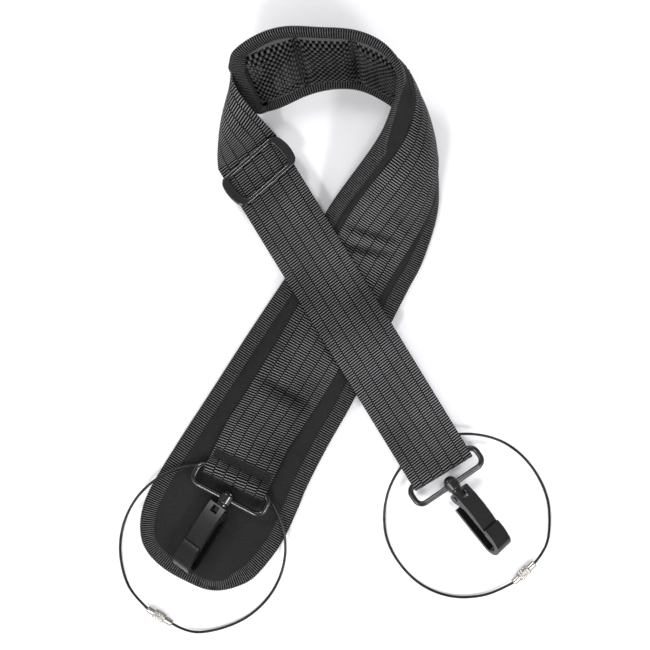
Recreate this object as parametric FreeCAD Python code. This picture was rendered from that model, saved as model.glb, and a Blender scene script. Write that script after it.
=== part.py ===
"""Saxophone neck strap, lying on a table: a padded neck band folded into a loop, one long webbing
strip that runs through a slider, two swivel snap hooks and two wire safety rings.

Millimetres, +Z up.  The strap rests on the plane z = 0.  +Y runs from the hooks to the neck loop.
"""

import FreeCAD, Part
import math
import os

Vector = FreeCAD.Vector

# ---------------------------------------------------------------- driving dimensions
webbing_width = 38.0
webbing_thickness = 1.3
ply_gap = 0.1

# Padded neck band.  Heights "h" are measured from the inner face of the outer panel, outward.
panel_thickness = 2.0
foam_thickness = 5.8
lining_thickness = 0.8
tape_thickness = 0.6
tape_width = 8.0
cell_count = 10
cell_groove = 2.0

# The band's two edges from its hook end round to its slider end, with the outward bow of the
# middle of the band between them: (upper-loop edge), (table edge), bow.
band_stations = [
    ((-75, -152.5, 1.8), (-55, -154, 1.8), 0.0),
    ((-88, -146, 1.8), (-44.5, -149.5, 1.8), 0.0),
    ((-98.5, -138, 1.8), (-36, -141, 1.8), 0.0),
    ((-105, -128, 1.8), (-28.5, -131, 1.8), 0.0),
    ((-106, -115, 1.8), (-23, -121, 1.8), 0.3),
    ((-102, -101, 2.2), (-19.5, -113, 2.2), 0.8),
    ((-93, -85, 3.2), (-16.5, -106, 3.2), 1.8),
    ((-80, -64.5, 4.2), (-12, -95, 4.2), 2.5),
    ((-64, -40, 4.5), (1, -70, 4.5), 3.0),
    ((-44, -9, 4.5), (14, -47, 4.5), 3.0),
    ((-24, 21, 4.5), (28, -18, 4.5), 3.0),
    ((-8, 46, 4.5), (41, 8, 4.0), 3.0),
    ((-1.5, 57, 6.5), (47.5, 20.5, 3.2), 3.8),
    ((5, 67, 13), (53, 32, 2.5), 6.0),
    ((18, 84, 29), (60, 55, 2.2), 9.0),
    ((28, 98, 43), (61.5, 71, 2.2), 9.0),
    ((33, 108, 52), (60, 85, 2.2), 9.0),
    ((36.5, 118, 59), (55, 97, 2.2), 8.0),
    ((38, 126, 63), (48, 108, 2.2), 7.0),
    ((36, 135, 65), (40, 117, 2.2), 6.0),
    ((28, 145, 66), (32, 123, 2.2), 4.0),
    ((13, 151.5, 66), (19, 129, 2.2), 3.0),
    ((-4.5, 153, 65), (3, 130, 2.2), 3.0),
    ((-21.5, 154, 63), (-13, 126, 2.2), 3.0),
    ((-36, 151, 60), (-26, 120, 2.2), 3.0),
    ((-47, 145, 57), (-35, 117, 3), 2.0),
    ((-52, 140, 53), (-40, 115.5, 8), 1.0),
    ((-54, 136, 44), (-46, 119, 18), 0.0),
]
foam_first, foam_last = 7.75, 25.4

# Straight run of the strap, from the slider to the right hook.
slider_centre = Vector(-40, 83.5, 0)
run_heading = math.radians(-58.5)
right_bar_distance = 199.0
slider_height = 11.5
crossing_height = 13.5

# Hook-end loop of the strap, sewn on the band.
left_bar = Vector(-52, -92, 12.45)
left_heading = math.radians(-116)
left_loop_height = 11.8
left_loop_radius = 2.75
right_bar_height = 7.7
right_bar_slack = 1.1
right_loop_radius = 2.0

# Bail (oval wire loop of a hook) and snap hook.
wire_radius = 1.6
bail_length = 44.4
bail_depth = 12.0
bail_corner = 4.5
boss_radius = 4.0
boss_half = 3.2
post_radius = 1.7
running_clearance = 0.05
hook_width = 11.0
pin_radius = 0.95

# Wire rings.
cable_radius = 0.8


# ---------------------------------------------------------------- general helpers
def unit(vector):
    """The vector at length one."""
    return vector * (1.0 / vector.Length)


def heading(angle, pitch=0.0):
    """Direction at a plan angle, raised by a pitch, both in radians."""
    return Vector(math.cos(pitch) * math.cos(angle), math.cos(pitch) * math.sin(angle), math.sin(pitch))


def spline_through(points, parameters=None):
    """Interpolated B-spline curve through points."""
    curve = Part.BSplineCurve()
    if parameters:
        curve.interpolate(Points=points, Parameters=parameters)
    else:
        curve.interpolate(points)
    return curve


def placed(shape, origin, x_axis, z_axis):
    """A shape moved from its local frame to the one given by origin, x axis and rough z axis."""
    ex = unit(x_axis)
    ey = unit(z_axis.cross(ex))
    ez = ex.cross(ey)
    matrix = FreeCAD.Matrix(
        ex.x, ey.x, ez.x, origin.x,
        ex.y, ey.y, ez.y, origin.y,
        ex.z, ey.z, ez.z, origin.z,
        0, 0, 0, 1,
    )
    moved = shape.copy()
    moved.transformShape(matrix, True)
    return moved


def save(name, shape):
    """Write one node and print its facts."""
    shape.exportStep("parts/" + name + ".step")
    box = shape.BoundBox
    print(
        "%-22s solids %2d valid %s volume %8.1f  x %.1f..%.1f y %.1f..%.1f z %.1f..%.1f"
        % (name, len(shape.Solids), shape.isValid(), shape.Volume,
           box.XMin, box.XMax, box.YMin, box.YMax, box.ZMin, box.ZMax)
    )


# ---------------------------------------------------------------- the neck band
class Ribbon:
    """A strip between two edge curves, bowed outward between them."""

    def __init__(self, stations, steps):
        self.last = steps[-1]
        self.upper = spline_through([Vector(*s[0]) for s in stations], steps)
        self.table = spline_through([Vector(*s[1]) for s in stations], steps)
        self.bows = spline_through([Vector(t, s[2], 0) for t, s in zip(steps, stations)], steps)

    def frame(self, t):
        """Middle, direction to the upper edge, outward direction, half width and bow at t."""
        a, b = self.upper.value(t), self.table.value(t)
        forward = self.upper.tangent(t)[0] + self.table.tangent(t)[0]
        across = unit(a - b)
        outward = unit(forward.cross(across))
        return (a + b) * 0.5, across, outward, (a - b).Length / 2, self.bows.value(t).y

    def point(self, t, v, h):
        """Point v across the band, towards the upper edge, and h outward of the panel's inner face."""
        middle, across, outward, half, bow = self.frame(t)
        lift = bow * (1 - (v / half) ** 2)
        normal = unit(outward + across * (2 * bow * v / half ** 2))
        return middle + across * v + outward * lift + normal * h

    def half(self, t):
        """Half the width at t."""
        return self.frame(t)[3]

    def section(self, t, half, low, high):
        """Closed section across the strip between two height functions of v / half."""
        spots = [-1.0, -0.88, -0.76, -0.5, 0.0, 0.5, 0.76, 0.88, 1.0]
        lower = [self.point(t, half * k, low(k)) for k in spots]
        upper = [self.point(t, half * k, high(k)) for k in spots]
        return Part.Wire([
            spline_through(lower).toShape(),
            Part.makeLine(lower[-1], upper[-1]),
            spline_through(upper[::-1]).toShape(),
            Part.makeLine(upper[0], lower[0]),
        ])


def steps_between(first, last, count):
    """Evenly spaced values from first to last."""
    return [first + (last - first) * i / (count - 1) for i in range(count)]


band = Ribbon(band_stations, [float(i) for i in range(len(band_stations))])


def arc_lengths(samples=400):
    """Table of (t, distance along the middle of the band)."""
    table, total = [(0.0, 0.0)], 0.0
    before = band.point(0.0, 0, 0)
    for t in steps_between(0.0, band.last, samples)[1:]:
        here = band.point(t, 0, 0)
        total += (here - before).Length
        table.append((t, total))
        before = here
    return table


lengths = arc_lengths()


def distance_at(t):
    """Distance along the band's middle at t."""
    return min(lengths, key=lambda row: abs(row[0] - t))[1]


def t_at(distance):
    """Station parameter at a distance along the band's middle."""
    for (t0, d0), (t1, d1) in zip(lengths, lengths[1:]):
        if d1 >= distance:
            return t0 + (t1 - t0) * (distance - d0) / (d1 - d0)
    return band.last


foam_start, foam_end = distance_at(foam_first), distance_at(foam_last)
cell_pitch = (foam_end - foam_start) / cell_count


def puff(distance):
    """Foam height along the band, from 0 in a groove to 1 in the middle of a cell."""
    if distance <= foam_start or distance >= foam_end:
        return 0.0
    phase = ((distance - foam_start) / cell_pitch) % 1.0
    edge = min(phase, 1 - phase) * cell_pitch - cell_groove / 2
    if edge <= 0:
        return 0.0
    rise = min(1.0, edge / 9.0)
    return math.sqrt(1 - (1 - rise) ** 2)


def dome(k):
    """Foam height across the band, from 0 at its sides to 1 in the middle."""
    return math.sqrt(max(0.0, 1 - abs(k) ** 4))


def foam_half(t):
    """Half the foam's width: it stops short of the edge tape."""
    return band.half(t) - tape_width - 1.6


def outer_panel():
    """Neoprene outer panel over the whole band."""
    wires = [
        band.section(t, band.half(t), lambda k: 0.0, lambda k: panel_thickness)
        for t in steps_between(0.0, band.last, 53)
    ]
    return Part.makeLoft(wires, True, False)


def foam_cells():
    """Separate foam blocks, one in each sewn cell."""
    cells = []
    for index in range(cell_count):
        low = foam_start + index * cell_pitch + cell_groove / 2
        high = low + cell_pitch - cell_groove
        wires = []
        for share in (0.03, 0.14, 0.3, 0.5, 0.7, 0.86, 0.97):
            distance = low + (high - low) * share
            t = t_at(distance)
            height = foam_thickness * puff(distance)
            wires.append(band.section(t, foam_half(t), lambda k: -height * dome(k) - 0.05, lambda k: 0.0))
        cells.append(Part.makeLoft(wires, True, False))
    return Part.makeCompound(cells)


def mesh_lining():
    """Mesh lining drawn over the foam and down into the grooves."""
    marks = [distance_at(0.0)]
    marks += steps_between(4.0, foam_start - 4.0, 12)
    for index in range(cell_count):
        low = foam_start + index * cell_pitch
        marks += [low + cell_pitch * k for k in (0.0, 0.1, 0.3, 0.5, 0.7, 0.9)]
    marks += [foam_end, (foam_end + lengths[-1][1]) / 2, lengths[-1][1]]
    wires = []
    for distance in marks:
        t = t_at(distance)
        height = foam_thickness * puff(distance) + 0.1
        half = band.half(t) - 0.2
        inner = foam_half(t) / half

        def under(k, base=height, reach=inner):
            return -base * dome(min(1.0, abs(k) / reach)) - 0.05

        wires.append(band.section(t, half, lambda k: under(k) - lining_thickness, under))
    return Part.makeLoft(wires, True, True)


def edge_tape():
    """Ribbed tape folded round the whole edge of the band."""
    ends = 6
    upper = [(t, 1.0) for t in steps_between(0.0, band.last, 54)]
    table = [(t, -1.0) for t in steps_between(band.last, 0.0, 54)]
    finish = [(band.last, k) for k in steps_between(1.0, -1.0, ends)[1:-1]]
    start = [(0.0, k) for k in steps_between(-1.0, 1.0, ends)[1:-1]]
    around = upper + finish + table + start
    edge = [band.point(t, k * band.half(t), 0.0) for t, k in around]
    wires = []
    count = len(around)
    skin = tape_thickness
    over = panel_thickness + skin
    below = -lining_thickness - 0.2 - skin
    for i, (t, k) in enumerate(around):
        if 0 < i < count and abs(k) == 1.0 and t in (0.0, band.last):
            continue
        along = unit(edge[(i + 1) % count] - edge[i - 1])
        middle, across, outward, half, bow = band.frame(t)
        normal = unit(outward + across * (2 * bow * k / half))
        inward = unit(along.cross(normal))
        reach = tape_width
        corners = [
            (reach, panel_thickness), (reach, over), (-skin, over), (-skin, below),
            (reach, below), (reach, below + skin), (0.0, below + skin), (0.0, panel_thickness),
        ]
        wires.append(Part.makePolygon([edge[i] + inward * x + normal * h
                                       for x, h in corners + corners[:1]]))
    wires.append(wires[0])
    return Part.makeLoft(wires, True, True)


# ---------------------------------------------------------------- the webbing strip
across_run = heading(run_heading + math.pi / 2)
across_left = heading(left_heading - math.pi / 2)
half_ply = webbing_thickness / 2
ply_pitch = webbing_thickness + ply_gap
run_start = -11.0
return_start = 3.0
crossing_start, crossing_end = 77.0, 118.0
ply_spread_start, ply_spread_length = 150.0, 30.0
join_distance = 28.0
join_height = 9.9
run_slope = (crossing_height - slider_height) / crossing_start


def arc_points(centre, radius, first, last, step=15):
    """Points on an arc in (distance, height), by angle in degrees."""
    count = int(round(abs(last - first) / step))
    angles = [math.radians(first + (last - first) * i / count) for i in range(count + 1)]
    return [(centre[0] + radius * math.cos(a), centre[1] + radius * math.sin(a)) for a in angles]


def ply_solid(path, place, width_direction):
    """Webbing along a path of (distance, height) points, extruded across its width."""
    sides = ([], [])
    for i, (x, z) in enumerate(path):
        x0, z0 = path[max(0, i - 1)]
        x1, z1 = path[min(len(path) - 1, i + 1)]
        length = math.hypot(x1 - x0, z1 - z0)
        for side, shift in zip(sides, (half_ply, -half_ply)):
            side.append(place(x - (z1 - z0) / length * shift, z + (x1 - x0) / length * shift))
    wire = Part.Wire([
        spline_through(sides[0]).toShape(),
        Part.makeLine(sides[0][-1], sides[1][-1]),
        spline_through(sides[1][::-1]).toShape(),
        Part.makeLine(sides[1][0], sides[0][0]),
    ])
    face = Part.Face(wire)
    face.translate(width_direction * (-webbing_width / 2))
    return face.extrude(width_direction * webbing_width)


def place_run(distance, height):
    """Point on the middle line of the straight run, at a distance from the slider."""
    return slider_centre + heading(run_heading) * distance + Vector(0, 0, height)


def place_left(distance, height):
    """Point on the middle line of the hook-end loop, at a distance from the bail's bar."""
    return Vector(left_bar.x, left_bar.y, height) - heading(left_heading) * distance


def upper_height(distance):
    """Height of the run's upper ply: up from the slider, level over the band, down to the hook."""
    if distance < crossing_start:
        return slider_height + run_slope * distance
    if distance < crossing_end:
        return crossing_height
    share = (distance - crossing_end) / (right_bar_distance - crossing_end)
    top = right_bar_height + right_loop_radius + half_ply
    return crossing_height + (top - crossing_height) * share


def lower_height(distance):
    """Height of the return ply: against the upper one, then parting from it towards the bail."""
    share = min(1.0, max(0.0, (distance - ply_spread_start) / ply_spread_length))
    open_pitch = 2 * right_loop_radius + webbing_thickness
    spread = ply_pitch + (open_pitch - ply_pitch) * share * share * (3 - 2 * share)
    return upper_height(distance) - spread


def straight_run():
    """The strap from the slider over the band to the right bail, and back under itself."""
    fold_radius = right_loop_radius + half_ply
    centre = (right_bar_distance, right_bar_height)
    there = [run_start, run_start + 2] + steps_between(-3.0, 69.0, 10) + [77.0, 84.0, 92.0, 100.0, 108.0]
    near_bar = [right_bar_distance - gap for gap in (7.0, 3.0, 1.0)]
    there += steps_between(116.0, right_bar_distance - 14, 10) + near_bar
    back = near_bar[::-1] + steps_between(right_bar_distance - 14, 100.0, 12) + [92.0, 84.0, 77.0]
    back += steps_between(69.0, 5.0, 9) + [return_start]
    path = [(x, upper_height(x)) for x in there]
    path += arc_points(centre, fold_radius, 90, -90)
    path += [(x, lower_height(x)) for x in back]
    return ply_solid(path, place_run, across_run)


def hook_end_loop():
    """The strap's sewn loop round the left bail, its tail under the upper ply."""
    fold_radius = left_loop_radius + half_ply
    centre = (0.0, left_loop_height)
    top, bottom = left_loop_height + fold_radius, left_loop_height - fold_radius
    path = [
        (join_distance, join_height), (26, join_height), (22, 10.3), (18, 10.75), (14, 10.55),
        (10.5, 10.35), (7.5, 10.4), (5.5, 11.3), (3.5, 13.2), (1.6, top - 0.25),
    ]
    path += arc_points(centre, fold_radius, 90, 270)
    path += [(4, bottom + 0.1), (8, bottom + 0.3), (13, bottom + 0.6), (18, bottom + 0.85)]
    return ply_solid(path, place_left, across_left)


def flat_section(middle, half_across, half_up):
    """Flat section of the strap, its corners in the order of a bowed section's."""
    corners = [
        middle - half_across - half_up, middle + half_across - half_up,
        middle + half_across + half_up, middle - half_across + half_up,
    ]
    return Part.makePolygon(corners + corners[:1])


def strap_loft():
    """The strap along the band's outer face and through its twist to the start of the run."""
    half_width = webbing_width / 2
    middle_height = panel_thickness + half_ply
    join = place_left(join_distance, join_height)
    stations = [(join + across_left * half_width, join - across_left * half_width, 0.0)]
    for t in steps_between(8.4, 25.4, 35):
        upper = band.point(t, half_width, middle_height)
        table = band.point(t, -half_width, middle_height)
        stations.append((upper, table, band.frame(t)[4] * (half_width / band.half(t)) ** 2))
    stations += [
        (Vector(-53, 134, 44), Vector(-50.5, 117, 11), 1.0),
        (Vector(-50.5, 125.5, 40), Vector(-59, 109.5, 10), 2.5),
        (Vector(-44.5, 117.5, 33), Vector(-62, 99.5, 9.5), 4.0),
        (Vector(-37, 110, 22.5), Vector(-62.5, 90.5, 10), 3.0),
    ]
    end = place_run(run_start, upper_height(run_start))
    stations.append((end + across_run * half_width, end - across_run * half_width, 0.0))
    middles = [(a + b) * 0.5 for a, b, _ in stations]
    steps = [0.0]
    for before, here in zip(middles, middles[1:]):
        steps.append(steps[-1] + (here - before).Length)
    strap = Ribbon(stations, steps)
    normal = heading(run_heading + math.pi, math.pi / 2 - math.atan(run_slope))
    first = flat_section(join, across_left * half_width, Vector(0, 0, half_ply))
    finish = flat_section(end, across_run * half_width, normal * half_ply)
    marks = [t for t in steps if 6 < t < steps[-1] - 1]
    marks += [(a + b) / 2 for a, b in zip(steps[-6:], steps[-5:])]
    wires = [first]
    for t in sorted(marks):
        wires.append(strap.section(t, strap.half(t), lambda k: -half_ply, lambda k: half_ply))
    wires.append(finish)
    return Part.makeLoft(wires, True, False)


def webbing_strap():
    """The whole strap in one piece."""
    return strap_loft().fuse([hook_end_loop(), straight_run()]).removeSplitter()


# ---------------------------------------------------------------- the slider
def polygon_prism(points, low, high, plane="xy"):
    """Prism of a closed outline between two levels, drawn in the xy plane or in the xz plane."""
    if plane == "xy":
        wire = Part.makePolygon([Vector(x, y, low) for x, y in points + points[:1]])
        return Part.Face(wire).extrude(Vector(0, 0, high - low))
    wire = Part.makePolygon([Vector(x, low, z) for x, z in points + points[:1]])
    return Part.Face(wire).extrude(Vector(0, high - low, 0))


def rod(radius, start, end):
    """Cylinder between two points."""
    return Part.makeCylinder(radius, (end - start).Length, start, end - start)


slider_skew = math.radians(9.5)
slider_lead = 2.0
slot_half = 20.3
wall_thickness, wall_half_depth, wall_margin = 1.3, 5.0, 0.3
frame_half_length, frame_half_depth, frame_corner, frame_crown = 21.5, 10.4, 6.0, 0.6
window_half_length, window_half_depth, window_corner, window_crown = 16.2, 7.6, 3.0, 0.2
frame_low = half_ply + ply_gap
frame_high = frame_low + 2.3
frame_round = 0.9
centre_bar_top = -half_ply - 2 * ply_pitch - ply_gap
centre_bar_thickness = 1.15
centre_bar_half_depth = 2.5


def bulged_block(half_length, half_depth, corner, crown, low, high):
    """Block with rounded corners and slightly bulging ends, between two heights."""
    x0, y0, lean = half_length - corner, half_depth - corner, math.radians(80)
    sweep = [(corner * math.sin(lean * i / 2), corner * math.cos(lean * i / 2)) for i in range(3)]
    edges = []
    for side in (1, -1):
        first = [Vector(side * (x0 + x), -side * (y0 + y), low) for x, y in sweep]
        second = [Vector(side * (x0 + x), side * (y0 + y), low) for x, y in sweep[::-1]]
        edges.append(Part.Arc(*first).toShape())
        edges.append(Part.Arc(first[-1], Vector(side * (half_length + crown), 0, low), second[0]).toShape())
        edges.append(Part.Arc(*second).toShape())
        edges.append(Part.makeLine(second[-1], Vector(-side * x0, side * half_depth, low)))
    return Part.Face(Part.Wire(edges)).extrude(Vector(0, 0, high - low))


def slider_frame():
    """Three-bar slider: a rounded frame over the strap, a wall beside each edge, a flat bar below."""
    frame = bulged_block(frame_half_length, frame_half_depth, frame_corner, frame_crown, frame_low, frame_high)
    frame = frame.cut(bulged_block(window_half_length, window_half_depth, window_corner, window_crown,
                                   frame_low - 1, frame_high + 1))
    rims = [e for e in frame.Edges if e.BoundBox.ZMin > frame_high - 0.01]
    frame = frame.makeFillet(frame_round, rims)
    low = centre_bar_top - centre_bar_thickness - wall_margin
    outer = slot_half + wall_thickness
    solids = []
    for side in (-1, 1):
        corners = [(side * slot_half, -wall_half_depth), (side * outer, -wall_half_depth),
                   (side * outer, wall_half_depth), (side * slot_half, wall_half_depth)]
        solids.append(polygon_prism(corners, low, frame_low + 0.5))
    reach, depth = slot_half + 0.5, centre_bar_half_depth
    solids.append(polygon_prism([(-reach, -depth), (reach, -depth), (reach, depth), (-reach, depth)],
                                centre_bar_top - centre_bar_thickness, centre_bar_top))
    whole = frame.fuse(solids).removeSplitter()
    return placed(whole, Vector(0, 0, 0), heading(slider_skew), Vector(0, 0, 1))


def strap_end_loop():
    """The strap's far end, wrapped loosely round the slider's centre bar and sewn back on itself."""
    radius = centre_bar_thickness / 2 + 0.05 + half_ply
    middle = centre_bar_top - centre_bar_thickness / 2
    upper, lower = middle + radius, middle - radius
    tilt = webbing_width / 2 * math.tan(slider_skew)
    turn = -centre_bar_half_depth / math.cos(slider_skew) - tilt - 0.2
    path = [(x, upper) for x in (20.5, 16.5, 12.5, 8.5, 4.0, 0.0, -3.5)]
    path += arc_points((turn, middle), radius, 90, 270)
    path += [(-3.5, lower), (0.0, lower), (3.5, lower), (6.5, lower + 0.05), (9.0, lower + 0.4)]
    path += [(11.5, upper - ply_pitch - 0.2), (14.5, upper - ply_pitch), (18.5, upper - ply_pitch)]
    return ply_solid(path, lambda s, z: Vector(0, -s, z), Vector(1, 0, 0))


def on_slider(shape):
    """A shape moved from the slider's frame to its place on the strap."""
    up = across_run.cross(heading(run_heading + math.pi, -math.atan(run_slope)))
    return placed(shape, place_run(slider_lead, upper_height(slider_lead)), across_run, up)


# ---------------------------------------------------------------- bails and snap hooks
head_radius = 3.3
pin_x, pin_z = 7.2, 1.2
head_half = 1.8
ear_inner = 4.4
ear_outer = hook_width / 2
pin_head, pin_head_radius = 0.5, 1.5


def bail(skew):
    """Oval wire loop with a bored boss; its strap bar lies on the local x axis."""
    half, corner = bail_length / 2, bail_corner
    points = [(-half + corner, 0), (half - corner, 0), (half, corner), (half, bail_depth - corner),
              (half - corner, bail_depth), (-half + corner, bail_depth), (-half, bail_depth - corner),
              (-half, corner)]
    centres = [(half - corner, corner), (half - corner, bail_depth - corner),
               (-half + corner, bail_depth - corner), (-half + corner, corner)]
    edges = []
    for i, (cx, cy) in enumerate(centres):
        a, b = points[2 * i], points[2 * i + 1]
        c = points[(2 * i + 2) % 8]
        bisector = math.radians(-45 + 90 * i)
        edges.append(Part.makeLine(Vector(*a, 0), Vector(*b, 0)))
        edges.append(Part.Arc(
            Vector(*b, 0),
            Vector(cx + corner * math.cos(bisector), cy + corner * math.sin(bisector), 0),
            Vector(*c, 0)).toShape())
    path = Part.Wire(edges)
    circle = Part.Wire(Part.makeCircle(wire_radius, Vector(0, 0, 0), Vector(1, 0, 0)))
    ring = path.makePipeShell([circle], True, False)
    hub = Vector(0, bail_depth, 0)
    along = heading(math.pi / 2 + skew)
    boss = rod(boss_radius, hub - along * boss_half, hub + along * boss_half)
    boss = boss.makeFillet(1.0, boss.Edges[:1] + boss.Edges[2:])
    hole = rod(post_radius + running_clearance, hub - along * 6, hub + along * 6)
    return ring.fuse(boss).cut(hole).removeSplitter()


def swivel_rivet():
    """Swivel post with a domed head inside the bail."""
    face = -boss_half - 0.1
    dome = Part.makeSphere(4.1, Vector(face - 2.0 + 4.1, 0, 0))
    keep = Part.makeCylinder(head_radius, 2.2, Vector(face, 0, 0), Vector(-1, 0, 0))
    head = dome.common(keep)
    return head.fuse(rod(post_radius, Vector(face - 0.5, 0, 0), Vector(6.0, 0, 0))).removeSplitter()


def hook_body():
    """Cast hook: collar and narrow head, thin back arm, round end and thick tip."""
    collar = Part.makeCylinder(3.4, 1.5, Vector(boss_half + 0.1, 0, 0), Vector(1, 0, 0))
    spine = polygon_prism(
        [(4.2, 2.4), (9.0, 2.6), (10.2, 1.0), (10.6, -1.6), (13.0, -4.4), (17.0, -5.25), (17.0, -6.6),
         (12.0, -6.3), (7.5, -4.9), (4.2, -3.3)], -head_half, head_half, "xz")
    y = -hook_width / 2

    def at(x, z):
        return Vector(x, y, z)

    edges = [
        Part.makeLine(at(12.5, -5.05), at(40.5, -5.8)),
        Part.Arc(at(40.5, -5.8), at(43.7, -2.2), at(40.8, 1.5)).toShape(),
        Part.makeLine(at(40.8, 1.5), at(33.0, 1.6)),
        Part.makeLine(at(33.0, 1.6), at(33.0, 3.4)),
        Part.makeLine(at(33.0, 3.4), at(31.3, 3.8)),
        Part.makeLine(at(31.3, 3.8), at(31.3, 5.0)),
        Part.Arc(at(31.3, 5.0), at(36.8, 5.15), at(41.6, 3.9)).toShape(),
        Part.Arc(at(41.6, 3.9), at(46.6, -1.8), at(42.6, -6.9)).toShape(),
        Part.Arc(at(42.6, -6.9), at(41.6, -7.3), at(40.5, -7.4)).toShape(),
        Part.makeLine(at(40.5, -7.4), at(12.5, -6.6)),
        Part.makeLine(at(12.5, -6.6), at(12.5, -5.05)),
    ]
    arm = Part.Face(Part.Wire(edges)).extrude(Vector(0, hook_width, 0))
    body = collar.fuse([spine, arm])
    body = body.cut(rod(post_radius, Vector(-1, 0, 0), Vector(6.0, 0, 0)))
    return body.cut(rod(pin_radius, Vector(pin_x, -9, pin_z), Vector(pin_x, 9, pin_z))).removeSplitter()


def gate():
    """Sprung gate: a curved band with two side flanges that make its ears, and a window at the top."""
    y = -ear_outer
    thickness = 1.1

    def at(x, z):
        return Vector(x, y, z)

    band_edges = [
        Part.Arc(at(5.0, 4.3), at(18.0, 5.3), at(32.8, 3.15)).toShape(),
        Part.makeLine(at(32.8, 3.15), at(32.7, 3.15 - thickness)),
        Part.Arc(at(32.7, 3.15 - thickness), at(18.0, 5.3 - thickness), at(5.0, 4.3 - thickness)).toShape(),
        Part.makeLine(at(5.0, 4.3 - thickness), at(5.0, 4.3)),
    ]
    top = Part.Face(Part.Wire(band_edges)).extrude(Vector(0, hook_width, 0))
    flange_edges = [
        Part.Arc(at(5.0, 4.3), at(18.0, 5.3), at(32.8, 3.15)).toShape(),
        Part.makeLine(at(32.8, 3.15), at(32.7, 2.0)),
        Part.makeLine(at(32.7, 2.0), at(15.0, 2.0)),
        Part.makeLine(at(15.0, 2.0), at(10.0, -1.0)),
        Part.Arc(at(10.0, -1.0), at(7.2, -2.0), at(4.4, -0.6)).toShape(),
        Part.makeLine(at(4.4, -0.6), at(4.4, 3.6)),
        Part.makeLine(at(4.4, 3.6), at(5.0, 4.3)),
    ]
    flange = Part.Face(Part.Wire(flange_edges)).extrude(Vector(0, ear_outer - ear_inner, 0))
    other = flange.copy()
    other.translate(Vector(0, ear_outer + ear_inner, 0))
    body = top.fuse([flange, other])
    window = Part.makeBox(4.2, 4.6, 6, Vector(5.9, -2.3, 1.5))
    hole = rod(pin_radius + running_clearance, Vector(pin_x, -9, pin_z), Vector(pin_x, 9, pin_z))
    return body.cut([window, hole]).removeSplitter()


def gate_pin():
    """Gate pivot pin with a slight head at each end."""
    reach = ear_outer + 0.1
    pin = rod(pin_radius, Vector(pin_x, -reach, pin_z), Vector(pin_x, reach, pin_z))
    heads = []
    for side in (-reach, reach):
        crown = side * (reach + pin_head) / reach
        heads.append(rod(pin_head_radius, Vector(pin_x, side, pin_z), Vector(pin_x, crown, pin_z)))
    return pin.fuse(heads).removeSplitter()


def gate_spring():
    """Torsion spring on the pin, beside the head, with one leg along the back arm."""
    wire, size, pitch, turns = 0.25, 1.4, 0.62, 3
    helix = Part.makeHelix(pitch, pitch * turns, size)
    profile = Part.Wire(Part.makeCircle(wire, Vector(size, 0, 0), Vector(0, 1, 0)))
    coil = Part.Wire(helix).makePipeShell([profile], True, True)
    turned = placed(coil, Vector(pin_x, 4.1, pin_z), Vector(1, 0, 0), Vector(0, -1, 0))
    leg = rod(wire, Vector(pin_x + size, 4.1, pin_z), Vector(pin_x + size + 3.6, 4.1, pin_z - 2.6))
    return turned.fuse(leg)


def hook_frame(bar, bail_angle, hook_angle, pitch, roll):
    """Origins and axes of a bail and of its hook: (bail origin, x, z), (hook origin, x, z)."""
    to_hub = heading(bail_angle, pitch)
    bail_x = heading(bail_angle - math.pi / 2)
    hub = bar + to_hub * bail_depth
    axis = heading(hook_angle, pitch)
    side = heading(hook_angle + math.pi / 2)
    level_up = axis.cross(side)
    gate_up = level_up * math.cos(roll) + side * math.sin(roll)
    return (bar, bail_x, bail_x.cross(to_hub)), (hub, axis, gate_up)


bail_angles = {"left": math.radians(-117.5), "right": math.radians(-55.5)}
hook_angles = {"left": math.radians(-123), "right": math.radians(-50.5)}
skews = {side: hook_angles[side] - bail_angles[side] for side in bail_angles}
hooks = {
    "left": hook_frame(left_bar, bail_angles["left"], hook_angles["left"],
                       math.radians(1.5), math.radians(-25)),
    "right": hook_frame(place_run(right_bar_distance - right_bar_slack, right_bar_height),
                        bail_angles["right"], hook_angles["right"], math.radians(2.0), math.radians(30)),
}


# ---------------------------------------------------------------- wire safety rings
left_route = [
    (-88.5, -174.5, 2.9), (-79.5, -180.0, 2.4), (-64.5, -179.0, 1.0), (-47.0, -172.5, 0.9),
    (-33.5, -160.5, 0.9), (-25.5, -145.0, 1.6), (-23.5, -127.5, 6.6), (-27.5, -111.5, 9.6),
    (-36.5, -97.5, 10.1), (-50.0, -88.0, 10.1), (-66.0, -83.5, 10.0), (-82.5, -84.5, 10.0),
    (-97.5, -91.5, 9.4), (-109.0, -102.5, 5.2), (-116.5, -116.5, 1.0), (-119.0, -132.5, 0.9),
    (-116.0, -148.5, 1.0), (-110.5, -158.5, 2.4), (-102.5, -166.0, 2.9),
]
right_route = [
    (117.6, -139.8, 2.9), (124.0, -132.5, 2.4), (126.5, -119.5, 1.0), (125.5, -102.5, 0.9),
    (117.0, -85.5, 0.9), (104.0, -73.0, 1.6), (89.0, -67.0, 5.6), (72.5, -66.0, 8.0),
    (57.0, -71.0, 8.3), (44.0, -81.0, 8.0), (35.0, -95.0, 5.6), (31.5, -111.0, 1.6),
    (33.0, -127.5, 0.9), (41.5, -142.5, 0.9), (54.0, -154.0, 0.9), (70.0, -160.0, 0.9),
    (86.5, -159.5, 1.0), (97.5, -155.5, 2.3), (105.3, -151.2, 2.9),
]


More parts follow.
